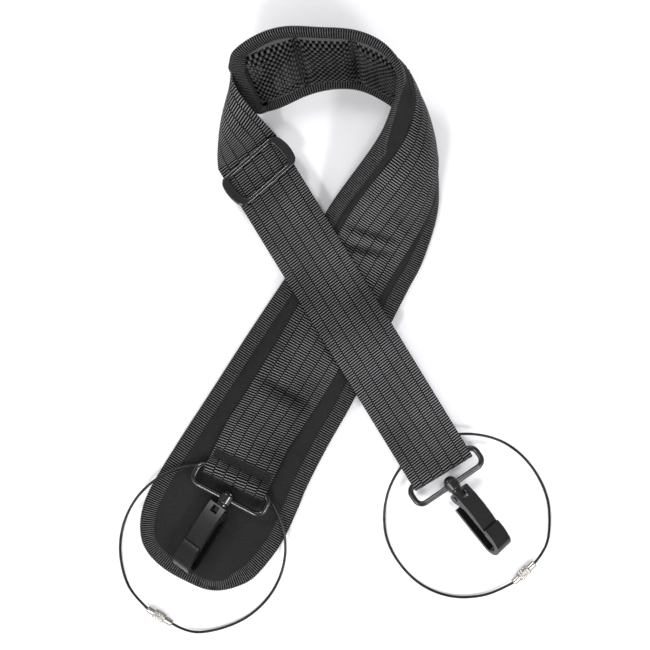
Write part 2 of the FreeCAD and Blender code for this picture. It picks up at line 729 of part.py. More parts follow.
def cable(name, route):
    """Cable of straight runs and tangent arcs, each arc as large as its two runs allow."""
    points = [Vector(*p) for p in route]
    edges, length, here, radii = [], 0.0, points[0], []
    for before, corner, after in zip(points, points[1:], points[2:]):
        arriving, leaving = unit(corner - before), unit(after - corner)
        turn = arriving.getAngle(leaving)
        trim = 0.45 * min((corner - before).Length, (after - corner).Length)
        radius = trim / math.tan(turn / 2)
        start, end = corner - arriving * trim, corner + leaving * trim
        bulge = unit(leaving - arriving)
        middle = corner + bulge * (radius / math.cos(turn / 2) - radius)
        edges += [Part.makeLine(here, start), Part.Arc(start, middle, end).toShape()]
        length += (start - here).Length + radius * turn
        radii.append(radius)
        here = end
    edges.append(Part.makeLine(here, points[-1]))
    length += (points[-1] - here).Length
    section = Part.Wire(Part.makeCircle(cable_radius, points[0], points[1] - points[0]))
    tube = Part.Wire(edges).makePipeShell([section], True, True)
    share = tube.Volume / (math.pi * cable_radius ** 2 * length)
    print("%s length %.1f mm, volume %.4f of section x length, radii %s"
          % (name, length, share, " ".join("%.0f" % r for r in radii)))
    return tube


socket_length, plug_length = 4.2, 4.8
spigot_radius = 1.3


def connector(route):
    """Screw connector between a ring's two ends: socket, knurled sleeve and plug with its spigot."""
    start, end = Vector(*route[-1]), Vector(*route[0])
    axis = unit(end - start)
    total = (end - start).Length
    gap = 0.05
    sleeve_start = socket_length
    sleeve_end = total - plug_length
    socket = rod(1.95, Vector(0, 0, 0), Vector(sleeve_start - gap, 0, 0))
    socket = socket.makeFillet(0.5, [max(socket.Edges, key=lambda e: -e.CenterOfMass.x)])
    socket = socket.cut(rod(spigot_radius, Vector(sleeve_start - 2.5, 0, 0), Vector(20, 0, 0)))
    sleeve = rod(2.8, Vector(sleeve_start, 0, 0), Vector(sleeve_end, 0, 0))
    rims = [e for e in sleeve.Edges if e.Length > 15]
    sleeve = sleeve.makeChamfer(0.5, rims)
    sleeve = sleeve.cut(rod(spigot_radius + running_clearance, Vector(0, 0, 0), Vector(20, 0, 0)))
    plug = rod(2.0, Vector(sleeve_end + gap, 0, 0), Vector(total, 0, 0))
    plug = plug.makeFillet(0.9, [max(plug.Edges, key=lambda e: e.CenterOfMass.x)])
    plug = plug.fuse(rod(spigot_radius, Vector(sleeve_start - 2.5, 0, 0), Vector(sleeve_end + 1, 0, 0)))
    names = ("socket", "sleeve", "plug")
    return {n: placed(s, start, axis, Vector(0, 0, 1)) for n, s in zip(names, (socket, sleeve, plug))}


# ---------------------------------------------------------------- build every node
def main():
    """Write one STEP file for each node."""
    os.makedirs("parts", exist_ok=True)
    save("pad_outer_panel", outer_panel())
    save("pad_foam_cells", foam_cells())
    save("pad_mesh_lining", mesh_lining())
    save("pad_edge_tape", edge_tape())
    save("webbing_strap", webbing_strap())
    save("slider_frame", on_slider(slider_frame()))
    save("strap_end_loop", on_slider(strap_end_loop()))
    for side, (bail_place, hook_place) in hooks.items():
        save(side + "_bail", placed(bail(skews[side]), *bail_place))
        for name, make in (
            ("swivel_rivet", swivel_rivet), ("hook_body", hook_body), ("gate", gate),
            ("gate_pin", gate_pin), ("gate_spring", gate_spring),
        ):
            save(side + "_" + name, placed(make(), *hook_place))
    for side, route in (("left", left_route), ("right", right_route)):
        save(side + "_ring_cable", cable(side + "_ring_cable", route))
        for name, shape in connector(route).items():
            save(side + "_ring_" + name, shape)


main()
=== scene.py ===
"""Looks of a saxophone neck strap lying on a table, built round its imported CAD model.

The shapes are worked out in millimetres and scaled by MM; +Z is up, in the CAD model's own frame.
"""
import math

import bpy
import numpy as np
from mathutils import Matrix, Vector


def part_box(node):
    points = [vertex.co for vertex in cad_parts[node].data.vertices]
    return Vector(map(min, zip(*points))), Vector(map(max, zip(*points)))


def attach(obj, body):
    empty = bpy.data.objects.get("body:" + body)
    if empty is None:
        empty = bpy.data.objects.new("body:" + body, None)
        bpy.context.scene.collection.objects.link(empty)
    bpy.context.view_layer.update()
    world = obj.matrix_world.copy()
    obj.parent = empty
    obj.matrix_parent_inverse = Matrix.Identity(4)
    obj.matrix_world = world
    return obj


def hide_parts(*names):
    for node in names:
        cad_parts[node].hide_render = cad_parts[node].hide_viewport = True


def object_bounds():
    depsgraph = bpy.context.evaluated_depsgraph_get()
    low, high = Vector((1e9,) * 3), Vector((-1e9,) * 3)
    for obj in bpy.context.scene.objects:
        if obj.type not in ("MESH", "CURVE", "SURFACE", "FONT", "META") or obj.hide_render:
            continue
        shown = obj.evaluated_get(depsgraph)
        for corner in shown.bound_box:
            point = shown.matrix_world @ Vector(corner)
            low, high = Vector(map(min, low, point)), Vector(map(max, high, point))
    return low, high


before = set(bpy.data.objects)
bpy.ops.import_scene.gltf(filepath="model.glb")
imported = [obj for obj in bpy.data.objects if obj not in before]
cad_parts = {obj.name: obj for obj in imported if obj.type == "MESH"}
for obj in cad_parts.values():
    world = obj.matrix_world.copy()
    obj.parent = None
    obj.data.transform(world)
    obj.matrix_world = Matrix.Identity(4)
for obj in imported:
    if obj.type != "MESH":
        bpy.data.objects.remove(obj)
cad_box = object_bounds()

MM = 0.001

# ---------------------------------------------------------------- sizes, as in the CAD model
webbing_width = 38.0
webbing_thickness = 1.3
half_ply = webbing_thickness / 2
ply_gap = 0.1
ply_pitch = webbing_thickness + ply_gap
panel_thickness = 2.0
foam_thickness = 5.8
lining_thickness = 0.8
tape_width = 8.0
cell_count = 10
cell_groove = 2.0

# The band's two edges from its hook end round to its slider end, with the outward bow between them.
band_stations = [
    ((-75, -152.5, 1.8), (-55, -154, 1.8), 0.0),
    ((-88, -146, 1.8), (-44.5, -149.5, 1.8), 0.0),
    ((-98.5, -138, 1.8), (-36, -141, 1.8), 0.0),
    ((-105, -128, 1.8), (-28.5, -131, 1.8), 0.0),
    ((-106, -115, 1.8), (-23, -121, 1.8), 0.3),
    ((-102, -101, 2.2), (-19.5, -113, 2.2), 0.8),
    ((-93, -85, 3.2), (-16.5, -106, 3.2), 1.8),
    ((-80, -64.5, 4.2), (-12, -95, 4.2), 2.5),
    ((-64, -40, 4.5), (1, -70, 4.5), 3.0),
    ((-44, -9, 4.5), (14, -47, 4.5), 3.0),
    ((-24, 21, 4.5), (28, -18, 4.5), 3.0),
    ((-8, 46, 4.5), (41, 8, 4.0), 3.0),
    ((-1.5, 57, 6.5), (47.5, 20.5, 3.2), 3.8),
    ((5, 67, 13), (53, 32, 2.5), 6.0),
    ((18, 84, 29), (60, 55, 2.2), 9.0),
    ((28, 98, 43), (61.5, 71, 2.2), 9.0),
    ((33, 108, 52), (60, 85, 2.2), 9.0),
    ((36.5, 118, 59), (55, 97, 2.2), 8.0),
    ((38, 126, 63), (48, 108, 2.2), 7.0),
    ((36, 135, 65), (40, 117, 2.2), 6.0),
    ((28, 145, 66), (32, 123, 2.2), 4.0),
    ((13, 151.5, 66), (19, 129, 2.2), 3.0),
    ((-4.5, 153, 65), (3, 130, 2.2), 3.0),
    ((-21.5, 154, 63), (-13, 126, 2.2), 3.0),
    ((-36, 151, 60), (-26, 120, 2.2), 3.0),
    ((-47, 145, 57), (-35, 117, 3), 2.0),
    ((-52, 140, 53), (-40, 115.5, 8), 1.0),
    ((-54, 136, 44), (-46, 119, 18), 0.0),
]
foam_first, foam_last = 7.75, 25.4

slider_centre = np.array([-40.0, 83.5, 0.0])
run_heading = math.radians(-58.5)
right_bar_distance = 199.0
right_bar_height = 7.7
right_loop_radius = 2.0
slider_height = 11.5
crossing_height = 13.5
crossing_start, crossing_end = 77.0, 118.0
ply_spread_start, ply_spread_length = 150.0, 30.0
run_start, return_start = -11.0, 3.0
run_slope = (crossing_height - slider_height) / crossing_start

left_bar = np.array([-52.0, -92.0, 12.45])
left_heading = math.radians(-116)
left_loop_height = 11.8
left_loop_radius = 2.75
join_distance, join_height = 28.0, 9.9
strap_first, strap_last = 8.4, 25.4

centre_bar_top = -half_ply - 2 * ply_pitch - ply_gap
centre_bar_thickness = 1.15
centre_bar_half_depth = 2.5
slider_skew = math.radians(9.5)
slider_lead = 2.0

cable_radius = 0.8
left_route = [
    (-88.5, -174.5, 2.9), (-79.5, -180.0, 2.4), (-64.5, -179.0, 1.0), (-47.0, -172.5, 0.9),
    (-33.5, -160.5, 0.9), (-25.5, -145.0, 1.6), (-23.5, -127.5, 6.6), (-27.5, -111.5, 9.6),
    (-36.5, -97.5, 10.1), (-50.0, -88.0, 10.1), (-66.0, -83.5, 10.0), (-82.5, -84.5, 10.0),
    (-97.5, -91.5, 9.4), (-109.0, -102.5, 5.2), (-116.5, -116.5, 1.0), (-119.0, -132.5, 0.9),
    (-116.0, -148.5, 1.0), (-110.5, -158.5, 2.4), (-102.5, -166.0, 2.9),
]
right_route = [
    (117.6, -139.8, 2.9), (124.0, -132.5, 2.4), (126.5, -119.5, 1.0), (125.5, -102.5, 0.9),
    (117.0, -85.5, 0.9), (104.0, -73.0, 1.6), (89.0, -67.0, 5.6), (72.5, -66.0, 8.0),
    (57.0, -71.0, 8.3), (44.0, -81.0, 8.0), (35.0, -95.0, 5.6), (31.5, -111.0, 1.6),
    (33.0, -127.5, 0.9), (41.5, -142.5, 0.9), (54.0, -154.0, 0.9), (70.0, -160.0, 0.9),
    (86.5, -159.5, 1.0), (97.5, -155.5, 2.3), (105.3, -151.2, 2.9),
]

# Looks only
rib_pitch = 1.45
rib_column = 6.7
rib_height = 0.16
rib_slant = 0.1
tape_rib_pitch = 1.35
tape_rib_height = 0.2
flap_bulge = 1.9
mesh_pitch_along, mesh_pitch_across = 3.3, 2.4
mesh_depth = 0.75
thread_radius = 0.22
# Painted shade: how much the webbing's colour is darkened in its wrinkles and in the pressed bar-tack band by
# the left bail.
wrinkle_painted_shade = 0.13
tack_press, tack_painted_shade = 0.4, 0.6
tack_middle, tack_reach, tack_half_width = 8.6, 3.0, 18.2
seam_inset = 2.6


# ---------------------------------------------------------------- general helpers
def unit(vectors):
    """Vectors at length one."""
    vectors = np.asarray(vectors, float)
    return vectors / np.linalg.norm(vectors, axis=-1, keepdims=True)


def heading(angle, pitch=0.0):
    """Direction at a plan angle, raised by a pitch."""
    return np.array([math.cos(pitch) * math.cos(angle), math.cos(pitch) * math.sin(angle), math.sin(pitch)])


def spline_through(knots, values):
    """Function giving the natural cubic spline through values at the knots."""
    knots, values = np.asarray(knots, float), np.asarray(values, float)
    count, span = len(knots), np.diff(knots)
    matrix, right = np.zeros((count, count)), np.zeros_like(values)
    matrix[0, 0] = matrix[-1, -1] = 1.0
    for i in range(1, count - 1):
        matrix[i, i - 1:i + 2] = span[i - 1], 2 * (span[i - 1] + span[i]), span[i]
        after = (values[i + 1] - values[i]) / span[i]
        before = (values[i] - values[i - 1]) / span[i - 1]
        right[i] = 6 * (after - before)
    bend = np.linalg.solve(matrix, right)

    def at(t):
        t = np.clip(np.asarray(t, float), knots[0], knots[-1])
        i = np.clip(np.searchsorted(knots, t, side="right") - 1, 0, count - 2)
        a = ((knots[i + 1] - t) / span[i])[..., None]
        b = 1 - a
        curve = (a ** 3 - a) * bend[i] + (b ** 3 - b) * bend[i + 1]
        return a * values[i] + b * values[i + 1] + curve * (span[i] ** 2 / 6)[..., None]

    return at


def resampled(line, step):
    """Rows of numbers along a polyline (its first three columns are places) at an even spacing."""
    gaps = np.linalg.norm(np.diff(line[:, :3], axis=0), axis=1)
    keep = np.concatenate([[True], gaps > 1e-6])
    line = line[keep]
    along = np.concatenate([[0.0], np.cumsum(gaps[gaps > 1e-6])])
    marks = np.linspace(0.0, along[-1], int(round(along[-1] / step)) + 1)
    return marks, np.stack([np.interp(marks, along, column) for column in line.T], axis=1)


def smoothed(rows, width):
    """Rows averaged with their neighbours, `width` rows to each side."""
    kernel = np.hanning(2 * width + 3)[1:-1]
    kernel /= kernel.sum()
    padded = np.pad(rows, ((width, width), (0, 0)), mode="edge")
    return np.stack([np.convolve(column, kernel, mode="valid") for column in padded.T], axis=1)


def grid_object(name, points, material, ring=False, loop=False, weave=None):
    """Smooth mesh over a grid of places in millimetres.  ring joins the last column to the first and
    closes both ends; loop joins the last row to the first."""
    rows, columns = points.shape[:2]
    index = np.arange(rows * columns).reshape(rows, columns)
    if ring:
        index = np.concatenate([index, index[:, :1]], axis=1)
    if loop:
        index = np.concatenate([index, index[:1]], axis=0)
    quads = np.stack([index[:-1, :-1], index[:-1, 1:], index[1:, 1:], index[1:, :-1]], axis=-1)
    faces = quads.reshape(-1, 4).tolist()
    if ring and not loop:
        faces.append(list(range(columns))[::-1])
        faces.append(list(range((rows - 1) * columns, rows * columns)))
    mesh = bpy.data.meshes.new(name)
    mesh.from_pydata((points.reshape(-1, 3) * MM).tolist(), [], faces)
    if weave is not None:
        attribute = mesh.attributes.new("weave", "FLOAT_VECTOR", "POINT")
        attribute.data.foreach_set("vector", weave.reshape(-1, 3).astype(np.float32).ravel())
    return mesh_object(name, mesh, material)


def mesh_object(name, mesh, material):
    """Object for a mesh, smooth, with its material."""
    mesh.validate()
    mesh.polygons.foreach_set("use_smooth", [True] * len(mesh.polygons))
    mesh.materials.append(material)
    piece = bpy.data.objects.new(name, mesh)
    bpy.context.scene.collection.objects.link(piece)
    return piece


# ---------------------------------------------------------------- the neck band's surface
class Ribbon:
    """A strip between two edge curves, bowed outward between them."""

    def __init__(self, stations, knots, bulge=0.0):
        """Stations (upper edge, table edge, bow) at knots; bulge rounds out the first end."""
        self.bulge = bulge
        self.last = float(knots[-1])
        self.upper = spline_through(knots, [s[0] for s in stations])
        self.table = spline_through(knots, [s[1] for s in stations])
        self.bows = spline_through(knots, [[s[2]] for s in stations])
        self.marks = np.linspace(0.0, self.last, 4001)
        middle = self.point(self.marks, np.zeros(4001), 0.0)
        steps = np.linalg.norm(np.diff(middle, axis=0), axis=1)
        self.distances = np.concatenate([[0.0], np.cumsum(steps)])
        self.length = self.distances[-1]

    def frame(self, t):
        """Middle, direction to the upper edge, outward direction, half width and bow at t."""
        a, b, step = self.upper(t), self.table(t), 1e-3
        forward = unit(self.upper(t + step) - self.upper(t - step))
        forward = forward + unit(self.table(t + step) - self.table(t - step))
        across = unit(a - b)
        outward = unit(np.cross(forward, across))
        return (a + b) / 2, across, outward, np.linalg.norm(a - b, axis=-1) / 2, self.bows(t)[..., 0]

    def point(self, t, v, h):
        """Places v across the band, towards the upper edge, and h outward of the panel's inner face."""
        middle, across, outward, half, bow = self.frame(t)
        lift = bow * (1 - (v / half) ** 2)
        normal = unit(outward + across * (2 * bow * v / half ** 2)[..., None])
        h = np.broadcast_to(h, np.shape(v))
        fade = np.clip(1.0 - np.asarray(t) / 2.2, 0.0, 1.0)
        bulge = self.bulge * fade * fade * (1 - (v / half) ** 2)
        middle = middle - np.cross(across, outward) * bulge[..., None]
        return middle + across * np.asarray(v)[..., None] + outward * lift[..., None] + normal * h[..., None]

    def half(self, t):
        """Half the width at t."""
        return np.linalg.norm(self.upper(t) - self.table(t), axis=-1) / 2

    def t_at(self, distance):
        """Station parameter at a distance along the middle."""
        return np.interp(distance, self.distances, self.marks)

    def distance_at(self, t):
        """Distance along the middle at t."""
        return np.interp(t, self.marks, self.distances)


band = Ribbon(band_stations, np.arange(len(band_stations), dtype=float), flap_bulge)
foam_start, foam_end = band.distance_at(foam_first), band.distance_at(foam_last)
cell_pitch = (foam_end - foam_start) / cell_count

# Cross wrinkles of the outer face: (t along the band, v of the middle, half length across, depth,
# half width along the band, slant).
wrinkles = [
    (7.3, 0, 24, 0.6, 3.5, 0.10), (8.45, 1, 15, 2.0, 3.0, 0.02), (9.5, -8, 12, 0.7, 4.0, 0.3),
    (10.6, 6, 14, 0.7, 4.0, -0.2), (11.72, 2, 14, 2.1, 2.6, -0.5), (12.75, 3, 14, 2.3, 2.6, -0.4),
    (13.5, -9, 10, 1.0, 3.5, 0.3), (14.6, 2, 20, 0.8, 5.0, -0.1), (16.2, 0, 22, 0.8, 4.0, -0.1),
    (18.0, 0, 22, 0.7, 4.0, 0.1), (20.0, 0, 22, 0.6, 4.0, 0.0), (22.0, 0, 22, 0.6, 4.0, 0.0),
]
crease_share, crease_reach = 0.35, 1.5


def sink(t, v):
    """Depth of the cross wrinkles at places on the band."""
    distance = band.distance_at(t)
    depth = np.zeros(np.broadcast(distance, v).shape)
    for place, middle, length, amount, reach, slant in wrinkles:
        offset = distance - band.distance_at(place) - slant * (v - middle)
        across = np.exp(-np.abs((v - middle) / length) ** 4)
        crease = crease_share * np.exp(-(offset / crease_reach) ** 2)
        depth = depth + amount * across * (np.exp(-(offset / reach) ** 2) + crease)
    return depth


def puff(distance):
    """Foam height along the band, from 0 in a groove to 1 in the middle of a cell."""
    phase = ((distance - foam_start) / cell_pitch) % 1.0
    edge = np.minimum(phase, 1 - phase) * cell_pitch - cell_groove / 2
    rise = np.clip(edge / 9.0, 0.0, 1.0)
    inside = (distance > foam_start) & (distance < foam_end) & (edge > 0)
    return np.where(inside, np.sqrt(1 - (1 - rise) ** 2), 0.0)


def dome(k):
    """Foam height across the band, from 0 at its sides to 1 in the middle."""
    return np.sqrt(np.clip(1 - np.abs(k) ** 4, 0.0, 1.0))


def gentle(distance, v, size, seed):
    """Small soft unevenness of a fabric surface, between about -1 and 1."""
    draws = np.random.default_rng(seed).uniform(0.6, 1.6, (5, 3))
    total = 0.0
    for a, b, c in draws:
        total = total + np.sin(distance / size * a + v / size * (b - 1.1) * 2 + 9 * c)
    return total / 5


# ---------------------------------------------------------------- the webbing's path
across_run = heading(run_heading + math.pi / 2)
across_left = heading(left_heading - math.pi / 2)


def place_run(distance, height):
    """Place on the middle line of the straight run."""
    return slider_centre + heading(run_heading) * distance + np.array([0, 0, height])


def place_left(distance, height):
    """Place on the middle line of the hook-end loop, at a distance from the bail's bar."""
    return np.array([left_bar[0], left_bar[1], height]) - heading(left_heading) * distance


def upper_height(distance):
    """Height of the run's upper ply."""
    if distance < crossing_start:
        return slider_height + run_slope * distance
    if distance < crossing_end:
        return crossing_height
    share = (distance - crossing_end) / (right_bar_distance - crossing_end)
    top = right_bar_height + right_loop_radius + half_ply
    return crossing_height + (top - crossing_height) * share


def lower_height(distance):
    """Height of the return ply."""
    share = min(1.0, max(0.0, (distance - ply_spread_start) / ply_spread_length))
    open_pitch = 2 * right_loop_radius + webbing_thickness
    spread = ply_pitch + (open_pitch - ply_pitch) * share * share * (3 - 2 * share)
    return upper_height(distance) - spread


def arc_points(centre, radius, first, last, count=24):
    """Points on an arc in (distance, height), by angle in degrees."""
    angles = np.radians(np.linspace(first, last, count))
    return [(centre[0] + radius * math.cos(a), centre[1] + radius * math.sin(a)) for a in angles]


def path_rows(path, place, width_direction):
    """Rows (middle, across, half width, bow) of a strip that keeps one width direction."""
    path = np.array(path, float)
    along = np.concatenate([[0.0], np.cumsum(np.hypot(*np.diff(path, axis=0).T))])
    curve = spline_through(along, path)(np.linspace(0.0, along[-1], int(along[-1] * 3)))
    middles = np.array([place(x, z) for x, z in curve])
    rest = np.tile([*width_direction, webbing_width / 2, 0.0], (len(middles), 1))
    return np.concatenate([middles, rest], axis=1)


def hook_loop_rows():
    """The strap's sewn loop round the left bail, from its tail to the band."""
    fold_radius = left_loop_radius + half_ply
    centre = (0.0, left_loop_height)
    top, bottom = left_loop_height + fold_radius, left_loop_height - fold_radius
    path = [(18, bottom + 0.85), (13, bottom + 0.6), (8, bottom + 0.3), (4, bottom + 0.1)]
    path += arc_points(centre, fold_radius, 270, 90, 13)
    path += [
        (1.6, top - 0.25), (3.5, 13.2), (5.5, 11.3), (7.5, 10.4), (10.5, 10.35), (14, 10.55),
        (18, 10.75), (22, 10.3), (26, join_height), (join_distance, join_height),
    ]
    return path_rows(path, place_left, across_left)


def band_rows():
    """The strap along the band's outer face and through its twist to the start of the run."""
    half_width = webbing_width / 2
    join = place_left(join_distance, join_height)
    stations = [(join + across_left * half_width, join - across_left * half_width, 0.0)]
    height = panel_thickness + half_ply
    for t in np.linspace(strap_first, strap_last, 35):
        bow = band.frame(t)[4] * (half_width / band.half(t)) ** 2
        stations.append((band.point(t, np.array(half_width), height),
                         band.point(t, np.array(-half_width), height), float(bow)))
    stations += [
        ((-53, 134, 44), (-50.5, 117, 11), 1.0),
        ((-50.5, 125.5, 40), (-59, 109.5, 10), 2.5),
        ((-44.5, 117.5, 33), (-62, 99.5, 9.5), 4.0),
        ((-37, 110, 22.5), (-62.5, 90.5, 10), 3.0),
    ]
    end = place_run(run_start, upper_height(run_start))
    stations.append((end + across_run * half_width, end - across_run * half_width, 0.0))
    middles = [(np.array(a) + np.array(b)) / 2 for a, b, _ in stations]
    gaps = np.linalg.norm(np.diff(middles, axis=0), axis=1)
    knots = np.concatenate([[0.0], np.cumsum(gaps)])
    strap = Ribbon([(tuple(a), tuple(b), c) for a, b, c in stations], knots)
    t = np.linspace(0.0, strap.last, int(strap.last * 2))
    middle, across, _, half, bow = strap.frame(t)
    return np.concatenate([middle, across, half[:, None], bow[:, None]], axis=1)


def run_rows():
    """The strap from the slider over the band to the right bail, and back under itself."""
    centre = (right_bar_distance, right_bar_height)
    near_bar = [right_bar_distance - 3, right_bar_distance - 1]
    there = np.concatenate([np.arange(run_start, near_bar[0], 4.0), near_bar])
    back = np.concatenate([near_bar[::-1], np.arange(near_bar[0] - 3, return_start, -4.0), [return_start]])
    path = [(x, upper_height(x)) for x in there]
    path += arc_points(centre, right_loop_radius + half_ply, 90, -90, 13)
    path += [(x, lower_height(x)) for x in back]
    return path_rows(path, place_run, across_run)


def end_loop_rows():
    """The strap's far end round the slider's centre bar, in the slider's own frame."""
    radius = centre_bar_thickness / 2 + 0.05 + half_ply
    middle = centre_bar_top - centre_bar_thickness / 2
    upper, lower = middle + radius, middle - radius
    tilt = webbing_width / 2 * math.tan(slider_skew)
    turn = -centre_bar_half_depth / math.cos(slider_skew) - tilt - 0.2
    path = [(x, upper) for x in (20.5, 16.5, 12.5, 8.5, 4.0, 0.0, -3.5)]
    path += arc_points((turn, middle), radius, 90, 270, 13)
    path += [(-3.5, lower), (0.0, lower), (3.5, lower), (6.5, lower + 0.05), (9.0, lower + 0.4)]
    path += [(11.5, upper - ply_pitch - 0.2), (14.5, upper - ply_pitch), (18.5, upper - ply_pitch)]
    up = unit(np.cross(across_run, heading(run_heading + math.pi, -math.atan(run_slope))))
    back = unit(np.cross(up, across_run))
    origin = place_run(slider_lead, upper_height(slider_lead))
    return path_rows(path, lambda s, z: origin - back * s + up * z, across_run)


def webbing(name, rows, material, start=0.0, dents=None, ripple=0.16, thin=0.0):
    """Woven strap along rows of (middle, across, half width, bow), its ribs in staggered columns."""
    marks, rows = resampled(rows, rib_pitch / 4)
    middle, across = rows[:, :3], unit(rows[:, 3:6])
    half, bow = rows[:, 6], rows[:, 7]
    forward = unit(np.gradient(middle, axis=0))
    normal = unit(np.cross(forward, across))
    inner = np.linspace(-1.0, 1.0, 31) * (1 - 0.7 / (webbing_width / 2))
    rim = [(-1.0, 0.0), (-0.988, 0.62), (-0.972, 0.92)]
    top = rim + [(k, 1.0) for k in inner] + [(-k, r) for k, r in rim[::-1]]
    ring = top + [(k, -r) for k, r in top[-2:0:-1]]
    k, side = np.array(ring).T
    v = k * half[:, None]
    along = (marks + start)[:, None] + rib_slant * v
    column = np.floor(v / rib_column)
    rib = np.cos(2 * math.pi * (along / rib_pitch + 0.5 * (column % 2)))
    rib = np.where(np.abs(side) >= 1.0, rib, 0.4 * rib)
    seam = np.exp(-((np.abs(v) - webbing_width / 2 + seam_inset) / 0.7) ** 2)
    height = side * (half_ply - thin + rib_height * rib) - 0.28 * seam * np.sign(side)
    lift = bow[:, None] * (1 - (v / half[:, None]) ** 2)
    slope = (2 * bow / half ** 2)[:, None] * v
    lean = unit(normal[:, None, :] + across[:, None, :] * slope[..., None])
    # shade is painted shade, the colour darkening of the wrinkles and the tacked band; it rides in the weave
    # attribute's third entry.
    depth, shade = (0 * v, 0 * v) if dents is None else dents(middle, v)
    wave = ripple * gentle(along, v, 11.0, 5) - depth
    points = middle[:, None, :] + across[:, None, :] * v[..., None]
    points = points + normal[:, None, :] * lift[..., None] + lean * (height + wave)[..., None]
    weave = np.stack([along, v, shade], axis=-1)
    return grid_object(name, points, material, ring=True, weave=weave)


def stitches(name, places, directions, normals, length, material, radius=thread_radius):
    """Short threads lying on a surface, each a little arch, all in one mesh."""
    ends = np.linspace(-1.0, 1.0, 7)
    sides = np.linspace(0.0, 2 * math.pi, 7)[:-1]
    directions, normals = unit(directions), unit(normals)
    widths = np.cross(directions, normals)
    swell = np.sqrt(np.clip(1.04 - ends ** 2, 0.05, 1.0)) * radius
    sag = -0.9 * radius * ends ** 4 + 0.25 * radius
    local = np.zeros((len(places), 7, 6, 3))
    local += places[:, None, None, :]
    local += directions[:, None, None, :] * (ends * length / 2)[None, :, None, None]
    local += normals[:, None, None, :] * (sag[:, None] + swell[:, None] * np.cos(sides))[None, :, :, None]
    local += widths[:, None, None, :] * (swell[:, None] * np.sin(sides))[None, :, :, None]
    faces = []
    for i in range(len(places)):
        base = i * 42
        for r in range(6):
            for c in range(6):
                d = (c + 1) % 6
                faces.append([base + r * 6 + c, base + r * 6 + d, base + r * 6 + 6 + d, base + r * 6 + 6 + c])
        faces.append([base + c for c in range(6)][::-1])
        faces.append([base + 36 + c for c in range(6)])
    mesh = bpy.data.meshes.new(name)
    mesh.from_pydata((local.reshape(-1, 3) * MM).tolist(), [], faces)
    return mesh_object(name, mesh, material)


# ---------------------------------------------------------------- materials
def new_material(name, **values):
    """Principled material with its node tree, ready for more nodes."""
    material = bpy.data.materials.new(name)
    material.use_nodes = True
    shader = material.node_tree.nodes["Principled BSDF"]
    for key, value in values.items():
        shader.inputs[key.replace("_", " ")].default_value = value
    return material, shader


def add_node(material, kind, inputs=(), **settings):
    """A node, its settings and its inputs: a value is set and a socket is linked."""
    tree = material.node_tree
    node = tree.nodes.new(kind)
    for key, value in settings.items():
        setattr(node, key, value)
    for key, value in dict(inputs).items():
        if isinstance(value, bpy.types.NodeSocket):
            tree.links.new(value, node.inputs[key])
        else:
            node.inputs[key].default_value = value
    return node


def maths(material, operation, a, b=0.0, c=0.0):
    """Result of one Math node."""
    return add_node(material, "ShaderNodeMath", {0: a, 1: b, 2: c}, operation=operation).outputs[0]


def ramp(material, factor, stops):
    """Colour ramp over grey levels: stops of (place, grey)."""
    node = add_node(material, "ShaderNodeValToRGB", {"Fac": factor})
    elements = node.color_ramp.elements
    while len(elements) < len(stops):
        elements.new(0.5)
    for element, (place, grey) in zip(elements, stops):
        element.position = place
        element.color = (grey, grey, grey * 1.03, 1)
    return node.outputs["Color"]


def bump(material, shader, height, distance, strength=1.0):
    """Bump of a height onto the shader's normal."""
    values = {"Height": height, "Distance": distance, "Strength": strength}
    node = add_node(material, "ShaderNodeBump", values)
    material.node_tree.links.new(node.outputs["Normal"], shader.inputs["Normal"])


def noise(material, vector, scale, detail=3.0, roughness=0.55):
    """Noise value at a scale."""
    return add_node(material, "ShaderNodeTexNoise", {
        "Vector": vector, "Scale": scale, "Detail": detail, "Roughness": roughness}).outputs["Fac"]


def object_place(material):
    """Object coordinates."""
    return add_node(material, "ShaderNodeTexCoord").outputs["Object"]


def link(material, socket, target):
    """Link a socket to a shader input."""
    material.node_tree.links.new(socket, target)


